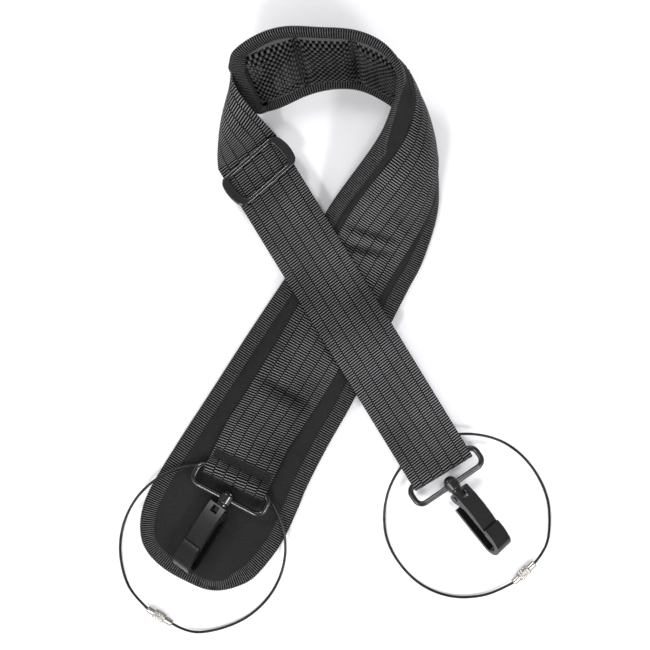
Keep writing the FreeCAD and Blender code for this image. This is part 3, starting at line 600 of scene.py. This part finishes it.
def webbing_material():
    """Black woven webbing: fine cross ribs in staggered columns, coloured lighter on the rib crests as a
    painted highlight and darker in the gaps as painted shade.
    """
    material, shader = new_material("webbing_black")
    weave = add_node(material, "ShaderNodeAttribute", attribute_name="weave").outputs["Vector"]
    parts = add_node(material, "ShaderNodeSeparateXYZ", {0: weave}).outputs
    column = maths(material, "DIVIDE", parts[1], rib_column)
    odd = maths(material, "FLOORED_MODULO", maths(material, "FLOOR", column), 2.0)
    phase = maths(material, "MULTIPLY_ADD", odd, 0.5, maths(material, "DIVIDE", parts[0], rib_pitch))
    wave = maths(material, "COSINE", maths(material, "MULTIPLY", phase, 2 * math.pi))
    rib = maths(material, "MULTIPLY_ADD", wave, 0.5, 0.5)
    gap = maths(material, "ABSOLUTE", maths(material, "SUBTRACT", maths(material, "FRACT", column), 0.5))
    column_edge = maths(material, "MULTIPLY_ADD", maths(material, "SUBTRACT", 0.5, gap), 16.0, 0.3)
    column_edge = maths(material, "MINIMUM", column_edge, 1.0)
    stretch = add_node(material, "ShaderNodeVectorMath", {0: weave, 1: (0.55, 3.2, 1.0)},
                       operation="MULTIPLY")
    fibre = noise(material, stretch.outputs[0], 1.6, 2.0)
    broad = noise(material, object_place(material), 22.0, 2.0)
    bead = maths(material, "COSINE", maths(material, "MULTIPLY", parts[1], 2 * math.pi / 0.96))
    level = maths(material, "MULTIPLY", rib, column_edge)
    level = maths(material, "MULTIPLY", level, maths(material, "MULTIPLY_ADD", bead, 0.12, 0.88))
    level = maths(material, "MULTIPLY", level, maths(material, "MULTIPLY_ADD", fibre, 0.9, 0.5))
    level = maths(material, "MULTIPLY", level, maths(material, "MULTIPLY_ADD", broad, 0.7, 0.65))
    # Painted shade: colour darkened by the weave attribute's third entry, in the strap's wrinkles and its
    # tacked band.
    level = maths(material, "MULTIPLY", level, maths(material, "SUBTRACT", 1.0, parts[2]))
    # Painted highlight and painted shade: the ramp turns rib crests light and the gaps between ribs nearly
    # black; the fibre, bead and broad noise are the yarn's own uneven tone.
    link(material, ramp(material, level, [(0.0, 0.0002), (0.42, 0.001), (0.62, 0.035), (1.0, 0.2)]),
         shader.inputs["Base Color"])
    link(material, maths(material, "MULTIPLY_ADD", rib, -0.22, 0.66), shader.inputs["Roughness"])
    link(material, maths(material, "MULTIPLY", level, 0.4), shader.inputs["Specular IOR Level"])
    height = maths(material, "MULTIPLY_ADD", fibre, 0.35, level)
    bump(material, shader, height, 0.00022, 0.9)
    return material


def tape_material():
    """Black ribbed binding tape; the ribs are in the mesh, and its colour is lighter on their crests and
    darker between them, a painted highlight and painted shade.
    """
    material, shader = new_material("binding_black", Roughness=0.6)
    weave = add_node(material, "ShaderNodeAttribute", attribute_name="weave").outputs["Vector"]
    parts = add_node(material, "ShaderNodeSeparateXYZ", {0: weave}).outputs
    wave = maths(material, "COSINE", maths(material, "MULTIPLY", parts[0], 2 * math.pi / tape_rib_pitch))
    rib = maths(material, "MULTIPLY_ADD", wave, 0.5, 0.5)
    fibre = noise(material, weave, 2.4, 3.0)
    level = maths(material, "MULTIPLY", rib, maths(material, "MULTIPLY_ADD", fibre, 0.9, 0.4))
    # Painted highlight and painted shade: rib crests coloured light, the gaps between them nearly black.
    link(material, ramp(material, level, [(0.0, 0.0002), (0.42, 0.001), (0.68, 0.022), (1.0, 0.13)]),
         shader.inputs["Base Color"])
    link(material, maths(material, "MULTIPLY", level, 0.4), shader.inputs["Specular IOR Level"])
    bump(material, shader, maths(material, "MULTIPLY_ADD", fibre, 0.5, level), 0.00018, 0.9)
    return material


def neoprene_material():
    """Matte black neoprene with a fine knitted face."""
    material, shader = new_material("neoprene_black", Roughness=0.85, Specular_IOR_Level=0.12,
                                    Sheen_Weight=0.04, Sheen_Roughness=0.4)
    place = object_place(material)
    knit = noise(material, place, 1500.0, 2.0)
    broad = noise(material, place, 30.0, 3.0)
    level = maths(material, "MULTIPLY_ADD", knit, 0.6, maths(material, "MULTIPLY", broad, 0.4))
    link(material, ramp(material, level, [(0.3, 0.006), (0.7, 0.018)]), shader.inputs["Base Color"])
    bump(material, shader, knit, 0.00012, 0.6)
    return material


def mesh_material():
    """Black spacer mesh: shiny threads round holes coloured darker, a painted shade of the sunken holes."""
    material, shader = new_material("mesh_black", Roughness=0.55)
    weave = add_node(material, "ShaderNodeAttribute", attribute_name="weave").outputs["Vector"]
    parts = add_node(material, "ShaderNodeSeparateXYZ", {0: weave}).outputs
    fibre = noise(material, weave, 2.2, 3.0)
    # Painted shade: the colour darkens where the weave attribute's third entry marks a sunken hole.
    level = maths(material, "MULTIPLY", maths(material, "SUBTRACT", 1.0, parts[2]),
                  maths(material, "MULTIPLY_ADD", fibre, 0.9, 0.4))
    link(material, ramp(material, level, [(0.0, 0.0005), (0.45, 0.006), (1.0, 0.07)]),
         shader.inputs["Base Color"])
    link(material, maths(material, "MULTIPLY", level, 0.4), shader.inputs["Specular IOR Level"])
    bump(material, shader, maths(material, "MULTIPLY_ADD", fibre, 0.6, level), 0.0002, 0.9)
    return material


def foam_material():
    """Dark open-cell foam."""
    material, shader = new_material("foam_dark", Roughness=0.95)
    cells = noise(material, object_place(material), 900.0, 4.0)
    link(material, ramp(material, cells, [(0.35, 0.02), (0.7, 0.07)]), shader.inputs["Base Color"])
    bump(material, shader, cells, 0.0003, 0.8)
    return material


def thread_material():
    """Black sewing thread."""
    material, shader = new_material("thread_black", Roughness=0.6, Specular_IOR_Level=0.25)
    twist = noise(material, object_place(material), 2500.0, 2.0)
    link(material, ramp(material, twist, [(0.3, 0.004), (0.75, 0.03)]), shader.inputs["Base Color"])
    bump(material, shader, twist, 0.00008, 0.8)
    return material


def black_metal_material(name, roughness, grain):
    """Glossy black plated metal with faint casting unevenness."""
    material, shader = new_material(name, Specular_IOR_Level=0.6)
    place = object_place(material)
    broad = noise(material, place, 70.0, 3.0)
    fine = noise(material, place, 900.0, 2.0)
    link(material, ramp(material, broad, [(0.3, 0.003), (0.7, 0.007)]), shader.inputs["Base Color"])
    link(material, maths(material, "MULTIPLY_ADD", fine, 0.14, roughness), shader.inputs["Roughness"])
    bump(material, shader, maths(material, "MULTIPLY_ADD", fine, 0.35, broad), grain, 0.35)
    return material


def nickel_material():
    """Bright nickel with light wear."""
    material, shader = new_material("nickel_bright", Metallic=1.0)
    place = object_place(material)
    wear = noise(material, place, 400.0, 4.0)
    colour = add_node(material, "ShaderNodeMix", {"Factor": wear}, data_type="RGBA")
    colour.inputs[6].default_value = (0.2, 0.19, 0.175, 1)
    colour.inputs[7].default_value = (0.5, 0.48, 0.45, 1)
    link(material, colour.outputs[2], shader.inputs["Base Color"])
    link(material, maths(material, "MULTIPLY_ADD", wear, 0.25, 0.14), shader.inputs["Roughness"])
    bump(material, shader, wear, 0.00004, 0.5)
    return material


def steel_material():
    """Plain spring steel."""
    material, shader = new_material("spring_steel", Metallic=1.0)
    wear = noise(material, object_place(material), 900.0, 3.0)
    link(material, ramp(material, wear, [(0.3, 0.35), (0.7, 0.6)]), shader.inputs["Base Color"])
    link(material, maths(material, "MULTIPLY_ADD", wear, 0.2, 0.2), shader.inputs["Roughness"])
    return material


def cable_material():
    """Black coating over stranded cable."""
    material, shader = new_material("cable_black", Specular_IOR_Level=0.25)
    wear = noise(material, object_place(material), 260.0, 4.0)
    link(material, ramp(material, wear, [(0.35, 0.002), (0.7, 0.01)]), shader.inputs["Base Color"])
    link(material, maths(material, "MULTIPLY_ADD", wear, 0.2, 0.2), shader.inputs["Roughness"])
    return material


def floor_material():
    """Pale matte table top."""
    material, shader = new_material("floor_pale", Roughness=0.85)
    cloud = noise(material, object_place(material), 3.0, 2.0)
    link(material, ramp(material, cloud, [(0.0, 0.86), (1.0, 0.9)]), shader.inputs["Base Color"])
    return material


webbing_black, binding_black, neoprene_black = webbing_material(), tape_material(), neoprene_material()
mesh_black, foam_dark, thread_black = mesh_material(), foam_material(), thread_material()
gloss_metal = black_metal_material("metal_gloss", 0.13, 0.000012)
satin_metal = black_metal_material("metal_satin", 0.22, 0.00003)
nickel_bright, spring_steel, cable_black = nickel_material(), steel_material(), cable_material()


# ---------------------------------------------------------------- camera, floor and light
def make_stage():
    """Camera straight above, pale floor and soft studio light."""
    low, high = cad_box
    camera = bpy.data.objects.new("camera", bpy.data.cameras.new("camera"))
    camera.data.lens = 106.9
    camera.location = (-0.0017, -0.0048, 1.1)
    bpy.context.scene.collection.objects.link(camera)
    bpy.context.scene.camera = camera
    mesh = bpy.data.meshes.new("floor")
    reach = 3.0
    drop = min(0.0, low.z) - 0.0002
    mesh.from_pydata([(-reach, -reach, drop), (reach, -reach, drop), (reach, reach, drop),
                      (-reach, reach, drop)], [], [(0, 1, 2, 3)])
    mesh.materials.append(floor_material())
    floor = bpy.data.objects.new("floor", mesh)
    bpy.context.scene.collection.objects.link(floor)
    lights = [
        ("key", (-0.85, -0.95, 1.05), 1.3, 13.0), ("fill", (0.95, -0.85, 0.95), 1.2, 10.0),
        ("rear", (-0.1, 1.2, 0.95), 1.2, 7.0), ("kick_left", (-0.6, 0.75, 1.15), 0.22, 7.0),
        ("kick_right", (0.65, -0.7, 1.2), 0.22, 7.0), ("kick_front", (-0.42, -0.8, 1.2), 0.22, 7.0),
    ]
    for name, place, size, power in lights:
        light = bpy.data.lights.new(name, "AREA")
        light.size, light.energy = size, power
        lamp = bpy.data.objects.new(name, light)
        lamp.location = place
        aim = (high + low) / 2 - lamp.location
        lamp.rotation_euler = aim.to_track_quat("-Z", "Y").to_euler()
        bpy.context.scene.collection.objects.link(lamp)
    world = bpy.data.worlds.new("studio")
    world.use_nodes = True
    world.node_tree.nodes["Background"].inputs["Color"].default_value = (1.0, 1.0, 1.0, 1.0)
    world.node_tree.nodes["Background"].inputs["Strength"].default_value = 0.4
    bpy.context.scene.world = world
    bpy.context.scene.view_settings.view_transform = "Standard"


make_stage()


# ---------------------------------------------------------------- wire rings
def route_line(name, route):
    """Places along a route's own smooth NURBS line, in millimetres."""
    curve = bpy.data.curves.new(name, "CURVE")
    curve.dimensions = "3D"
    spline = curve.splines.new("NURBS")
    spline.points.add(len(route) - 1)
    for point, place in zip(spline.points, route):
        point.co = (*(c * MM for c in place), 1.0)
    spline.order_u = 3
    spline.use_endpoint_u = True
    curve.resolution_u = 40
    holder = bpy.data.objects.new(name, curve)
    bpy.context.scene.collection.objects.link(holder)
    mesh = bpy.data.meshes.new_from_object(holder)
    line = np.array([v.co for v in mesh.vertices]) / MM
    bpy.data.objects.remove(holder)
    bpy.data.meshes.remove(mesh)
    return line


def wire_ring(side, route):
    """Stranded wire ring: a tube whose surface shows the twist of its strands under the coating."""
    strands, lay, around = 7, 9.0, 21
    marks, line = resampled(route_line(side + "_route", route), 0.6)
    forward = unit(np.gradient(line, axis=0))
    level = unit(np.cross(forward, [0.0, 0.0, 1.0]))
    up = np.cross(level, forward)
    turn = np.linspace(0.0, 2 * math.pi, around + 1)[:-1]
    twist = strands * (turn[None, :] - 2 * math.pi * marks[:, None] / lay)
    radius = cable_radius * (0.955 + 0.045 * np.cos(twist))
    points = line[:, None, :] + level[:, None, :] * (radius * np.cos(turn))[..., None]
    points = points + up[:, None, :] * (radius * np.sin(turn))[..., None]
    ring = grid_object(side + "_cable", points, cable_black, ring=True)
    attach(ring, "strap")
    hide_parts(side + "_ring_cable")
    return ring, line, marks[-1]


def knurled_sleeve(side, start, end):
    """Knurled sleeve of the ring's connector, with plain chamfered rims."""
    low, high = (np.array(c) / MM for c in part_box(side + "_ring_sleeve"))
    axis = unit(end - start)
    middle = (low + high) / 2
    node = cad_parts[side + "_ring_sleeve"]
    reach = np.array([v.co for v in node.data.vertices]) / MM @ axis
    first, last = reach.min() - middle @ axis, reach.max() - middle @ axis
    level = unit(np.cross(axis, [0.0, 0.0, 1.0]))
    up = np.cross(level, axis)
    outer, bore, chamfer, teeth, across = 2.78, 1.36, 0.45, 26, 130
    tooth_height, tooth_sink, tooth_swing = 0.09, 0.12, 0.35
    rim = [(0.0, bore), (0.0, outer - 0.5), (chamfer, outer - 0.05), (0.9, outer - 0.1)]
    length = last - first
    stations = [(first + x, radius) for x, radius in rim]
    stations += [(x, outer) for x in np.linspace(first + 1.1, last - 1.1, 25)]
    stations += [(last - x, radius) for x, radius in rim[::-1]]
    turn = np.linspace(0.0, 2 * math.pi, across + 1)[:-1]
    rings = []
    for x, radius in stations:
        shape = radius + 0 * turn
        if radius == outer:
            swing = 0.5 * teeth * tooth_swing * (x - first) / length * math.pi
            shape += tooth_height * (np.cos(teeth * turn + swing) + np.cos(teeth * turn - swing))
            shape -= tooth_sink
        spoke = level * np.cos(turn)[:, None] + up * np.sin(turn)[:, None]
        rings.append(middle + axis * x + spoke * shape[:, None])
    points = np.array(rings).transpose(1, 0, 2)
    sleeve = grid_object(side + "_knurled_sleeve", points, nickel_bright, ring=True, loop=True)
    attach(sleeve, side + "_sleeve")
    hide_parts(side + "_ring_sleeve")
    return sleeve


for side, route in (("left", left_route), ("right", right_route)):
    ring, line, length = wire_ring(side, route)
    sleeve = knurled_sleeve(side, np.array(route[-1]), np.array(route[0]))


# ---------------------------------------------------------------- the padded band
def ring_across(columns, back_columns):
    """Columns of a closed section: k from edge to edge in front, and back again behind."""
    front = np.linspace(-1.0, 1.0, columns)
    back = np.linspace(1.0, -1.0, back_columns)
    return np.concatenate([front, back]), np.concatenate([np.ones(columns), np.zeros(back_columns)])


def outer_panel():
    """Neoprene outer panel: a soft stripe each side of the webbing, sunk where it is sewn."""
    distance = np.arange(0.0, band.length, 1.0)
    t = band.t_at(distance)[:, None]
    k, front = ring_across(91, 19)
    half = band.half(t)
    v = k * (half - 0.3)
    t = t + 0 * v
    inner, outer = webbing_width / 2 - 1.0, half - tape_width
    share = np.clip((np.abs(v) - inner) / np.maximum(outer - inner, 1.0), 0.0, 1.0)
    stripe = 1.0 * np.sqrt(np.clip(np.sin(math.pi * share), 0.0, 1.0)) - 0.25
    plain = 0.9 * (1 - np.clip(np.abs(v) / outer, 0.0, 1.0) ** 6) - 0.1
    fade = np.clip((distance[:, None] - band.distance_at(6.9)) / 26.0, 0.0, 1.0)
    soft = plain * (1 - fade) + np.where(np.abs(v) < inner, -0.2, stripe) * fade
    soft = np.where(np.abs(v) > outer, -0.1, soft)
    surface = panel_thickness + soft + 0.18 * gentle(distance[:, None], v, 9.0, 3) - sink(t, v)
    height = np.where(front > 0, surface, np.minimum(0.0, surface - 1.5))
    panel = grid_object("outer_panel", band.point(t, v, height), neoprene_black, ring=True)
    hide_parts("pad_outer_panel")
    return panel


def mesh_lining():
    """Spacer mesh drawn over the foam cells and down into the seams between them."""
    distance = np.arange(0.0, band.length, 0.6)[:, None]
    t = band.t_at(distance)
    k, front = ring_across(113, 15)
    half = band.half(t)
    v = k * (half - 0.4)
    t = t + 0 * v
    reach = half - tape_width - 1.0
    swell = (foam_thickness * puff(distance) + 0.1) * dome(np.clip(np.abs(v) / reach, 0, 1))
    wave = np.cos(2 * math.pi * distance / mesh_pitch_along) * np.cos(math.pi * v / mesh_pitch_across)
    hole = np.clip((wave + 0.3) / 0.45, 0.0, 1.0) * front
    surface = -swell - lining_thickness - 0.05 + mesh_depth * hole + 0.15 * gentle(distance, v, 8.0, 8)
    height = np.where(front > 0, surface, -0.1 - swell)
    # The third entry marks the holes, which the mesh material colours darker as painted shade.
    weave = np.stack([distance + 0 * v, v, hole], axis=-1)
    points = band.point(t, v, height)[:, ::-1]
    lining = grid_object("mesh_lining", points, mesh_black, ring=True, weave=weave[:, ::-1])
    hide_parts("pad_mesh_lining")
    return lining


def foam_blocks():
    """The separate foam blocks inside the sewn cells."""
    blocks = []
    for index in range(cell_count):
        low = foam_start + index * cell_pitch + cell_groove / 2
        distance = np.linspace(low + 0.3, low + cell_pitch - cell_groove - 0.3, 15)[:, None]
        t = band.t_at(distance)
        k, front = ring_across(15, 7)
        v = k * (band.half(t) - tape_width - 2.0)
        t = t + 0 * v
        height = np.where(front > 0, -0.93 * foam_thickness * puff(distance) * dome(k), -0.02)
        points = band.point(t, v, height)[:, ::-1]
        blocks.append(grid_object("foam_%d" % index, points, foam_dark, ring=True))
    foam = joined(blocks, "foam_cells")
    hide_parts("pad_foam_cells")
    return foam


def joined(objects, name):
    """Several meshes as one object."""
    with bpy.context.temp_override(active_object=objects[0], selected_editable_objects=objects):
        bpy.ops.object.join()
    objects[0].name = name
    objects[0].data.name = name
    return objects[0]


def edge_line():
    """Rows (place, surface normal) round the whole edge of the band, and their half widths."""
    steps = np.linspace(0.0, band.last, 1200)
    sides = np.linspace(-1.0, 1.0, 60)[1:-1]
    t = np.concatenate([steps, np.full(58, band.last), steps[::-1], np.zeros(58)])
    k = np.concatenate([np.ones(1200), sides[::-1], -np.ones(1200), sides])
    middle, across, outward, half, bow = band.frame(t)
    edge = band.point(t, k * half, np.zeros(len(t)))
    normal = unit(outward + across * (2 * bow * k / half)[:, None])
    drop = bow / half ** 2
    rows = np.concatenate([edge, normal, drop[:, None]], axis=1)
    return np.concatenate([rows, rows[:1]])


def edge_tape():
    """Ribbed binding tape folded round the band's whole edge, with its line of stitches."""
    marks, rows = resampled(edge_line(), 0.36)
    marks, rows = marks[:-1], rows[:-1]
    place, normal, drop = rows[:, :3], unit(rows[:, 3:6]), rows[:, 6]
    count = len(place)
    wide = np.concatenate([place[-12:], place, place[:12]])
    tangent = unit(wide[16:count + 16] - wide[8:count + 8])
    looped = np.concatenate([tangent[-15:], tangent, tangent[:15]])
    tangent = unit(smoothed(looped, 8)[15:-15])
    inward = unit(np.cross(tangent, normal))
    top, low = panel_thickness + 0.6, -lining_thickness - 0.8
    profile = [
        (tape_width, 1.9), (tape_width - 0.1, top - 0.15), (tape_width - 0.7, top + 0.05),
        (6.0, top + 0.08), (4.5, top + 0.1), (3.0, top + 0.1), (1.6, top), (0.5, top - 0.25),
        (-0.35, top - 0.9), (-0.62, 0.9), (-0.6, 0.0), (-0.35, low + 0.7), (0.5, low + 0.15),
        (1.8, low - 0.02), (3.2, low - 0.05),
        (5.0, low - 0.03), (6.6, low), (tape_width - 0.2, low + 0.12), (tape_width, low + 0.5), (4.0, 0.5),
    ]
    x, h = np.array(profile).T
    lines = unit(np.stack([x - 4.0, 2.2 * (h - 0.5)], axis=1) + 1e-6)
    rib = tape_rib_height * np.cos(2 * math.pi * marks / tape_rib_pitch)[:, None]
    rib = rib * np.where(h == 0.5, 0.0, 1.0)
    seam = 0.3 * np.exp(-((x - tape_width + 1.5) / 0.6) ** 2)
    wander = 0.25 * gentle(marks, 0.0 * marks, 14.0, 4)[:, None] * (x > 6.5)
    x2 = x + rib * lines[:, 0] + wander
    h2 = h + rib * lines[:, 1] - seam * np.sign(h - 0.5)
    curve = drop[:, None] * x ** 2
    points = place[:, None, :] + inward[:, None, :] * x2[..., None]
    points = points + normal[:, None, :] * (h2 - curve)[..., None]
    weave = np.stack([marks[:, None] + 0 * x, x + 0 * rib, h + 0 * rib], axis=-1)
    tape = grid_object("edge_tape", points, binding_black, ring=True, loop=True, weave=weave)
    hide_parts("pad_edge_tape")
    chosen = np.arange(0, count, 9)
    at = tape_width - 1.5
    sewn = place + inward * at - normal * (drop * at ** 2)[:, None]
    both = [(sewn + normal * (top - 0.05), normal), (sewn + normal * (low + 0.05), -normal)]
    places = np.concatenate([p[chosen] for p, _ in both])
    normals = np.concatenate([n[chosen] for _, n in both])
    directions = np.concatenate([tangent[chosen]] * 2)
    thread = stitches("tape_stitches", places, directions, normals, 2.5, thread_black)
    return tape, thread


def strap_dents(middle, v):
    """Depth of the strap's wrinkles on the band and of its tacked place by the left bail, and the painted
    shade that darkens its colour there.
    """
    t = np.linspace(strap_first, strap_last, 1600)
    centre = band.point(t, np.zeros(1600), panel_thickness + half_ply)
    gaps = np.linalg.norm(middle[:, None, :] - centre[None, ::4, :], axis=2)
    nearest = t[::4][gaps.argmin(axis=1)]
    weight = np.clip(1.0 - gaps.min(axis=1) / 6.0, 0.0, 1.0)
    depth = sink(nearest[:, None] + 0 * v, v) * weight[:, None]
    reach = (middle - left_bar) @ heading(left_heading + math.pi)
    on_top = middle[:, 2] > 9.6
    press = np.exp(-((reach - tack_middle) / tack_reach) ** 4) * on_top
    press = press[:, None] * (np.abs(v) < tack_half_width)
    return depth + tack_press * press, wrinkle_painted_shade * depth + tack_painted_shade * press


tack_rows = [(6.2, 11.05, 0.5), (7.4, 10.8, -0.5), (8.6, 10.7, 0.5), (9.8, 10.68, -0.5), (11.0, 10.7, 0.5)]


def strap_stitches():
    """Two lines of stitches down the strap on the band, and the bar tacks behind the left bail."""
    distance = np.arange(band.distance_at(8.7), band.distance_at(25.2), 3.3)
    t = band.t_at(distance)
    places, directions, normals = [], [], []
    for v in (-webbing_width / 2 + seam_inset, webbing_width / 2 - seam_inset):
        line = v + 0 * t
        depth = sink(t, line)
        here = band.point(t, line, panel_thickness + webbing_thickness - 0.1 - depth)
        above = band.point(t, line, panel_thickness + webbing_thickness + 0.9 - depth)
        places.append(here)
        normals.append(above - here)
        directions.append(np.gradient(here, axis=0))
    for row, height, lean in tack_rows:
        for v in np.arange(-17.8, 17.9, 0.75):
            places.append([place_left(row, height) + across_left * v])
            normals.append([[0.0, 0.0, 1.0]])
            directions.append([heading(left_heading) + lean * across_left])
    return stitches("strap_stitches", np.concatenate(places), np.concatenate(directions),
                    np.concatenate(normals), 2.3, thread_black)


panel, lining, foam = outer_panel(), mesh_lining(), foam_blocks()
tape, tape_thread = edge_tape()
for pad_piece, slot in ((panel, "neoprene"), (lining, "mesh"), (foam, "foam"), (tape, "binding")):
    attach(pad_piece, "strap")

band_part = np.concatenate([hook_loop_rows(), band_rows()[1:]])
strap_on_band = webbing("webbing_on_band", band_part, webbing_black, dents=strap_dents)
strap_run = webbing("webbing_run", run_rows(), webbing_black, start=7.0, ripple=0.08)
strap_end = webbing("webbing_end_loop", end_loop_rows(), webbing_black, start=3.0, ripple=0.03, thin=0.35)
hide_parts("webbing_strap")
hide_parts("webbing_strap")
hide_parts("strap_end_loop")
sewing = strap_stitches()
for piece in (strap_on_band, strap_run, sewing, tape_thread):
    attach(piece, "strap")
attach(strap_end, "slider")


# ---------------------------------------------------------------- metalwork carried over from CAD
def dress(name, material, width=0.0):
    """A CAD node's own material and, when a width is given, a small rounding on its sharp edges."""
    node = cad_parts[name]
    node.data.materials.clear()
    node.data.materials.append(material)
    if width:
        node.data.attributes.remove(node.data.attributes["custom_normal"])
        node.data.attributes.remove(node.data.attributes["sharp_edge"])
        node.data.polygons.foreach_set("use_smooth", [True] * len(node.data.polygons))
        weld = node.modifiers.new("weld", "WELD")
        weld.merge_threshold = 1e-6
        edge = node.modifiers.new("edge", "BEVEL")
        edge.width, edge.segments = width * MM, 3
        edge.limit_method, edge.angle_limit = "ANGLE", math.radians(32)
        edge.harden_normals = True


dress("slider_frame", gloss_metal)
for side in ("left", "right"):
    dress(side + "_hook_body", gloss_metal, 0.4)
    dress(side + "_gate", satin_metal, 0.25)
    for part in ("_bail", "_swivel_rivet", "_gate_pin"):
        dress(side + part, gloss_metal)
    dress(side + "_gate_spring", spring_steel)
    dress(side + "_ring_socket", nickel_bright)
    dress(side + "_ring_plug", nickel_bright)
